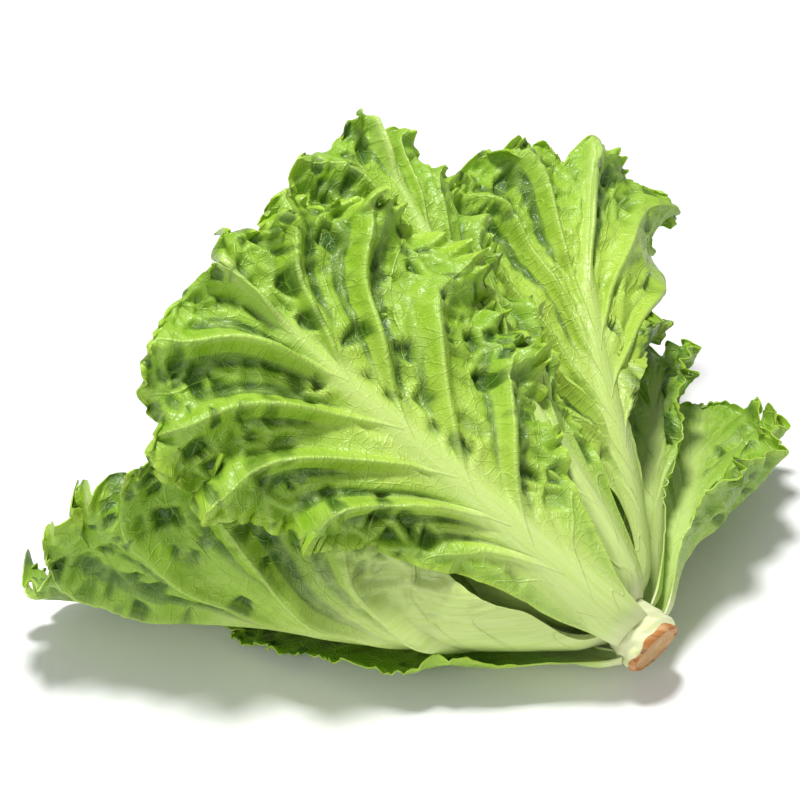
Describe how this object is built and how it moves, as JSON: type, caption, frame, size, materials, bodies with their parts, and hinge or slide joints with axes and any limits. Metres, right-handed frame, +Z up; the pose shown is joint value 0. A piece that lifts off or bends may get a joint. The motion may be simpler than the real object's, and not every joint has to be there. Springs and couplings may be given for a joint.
{
  "type": "lettuce",
  "caption": "Head of green loose-leaf lettuce with frilled leaves and pale ribs, cut at the stem and lying on its side.",
  "frame": {"origin": "middle of the bounding box's base, on the surface that the head lies on", "axes": "+X to the right in the picture, +Y away from the viewer, +Z up; the leaves' tips point to the back left and the cut stem to the front right"},
  "size_m": [0.3452, 0.2534, 0.1998],
  "materials": {
    "stem": "moist pale plant tissue, browned at the cut",
    "blade": "waxy satin green leaf with a pale, nearly white rib"
  },
  "bodies": {
    "root": {"stem": "stem", "leaf_under_front": "blade", "leaf_far_right": "blade", "leaf_top_left": "blade", "leaf_under_middle": "blade", "leaf_front_left": "blade", "leaf_top_middle": "blade", "leaf_back_right": "blade", "leaf_under_right": "blade", "leaf_inner_front": "blade", "leaf_inner_right": "blade", "leaf_inner_under": "blade", "leaf_inner_top": "blade", "leaf_inner_far": "blade", "leaf_heart_front": "blade", "leaf_heart_top": "blade", "leaf_heart_under": "blade"}
  },
  "joints": []
}
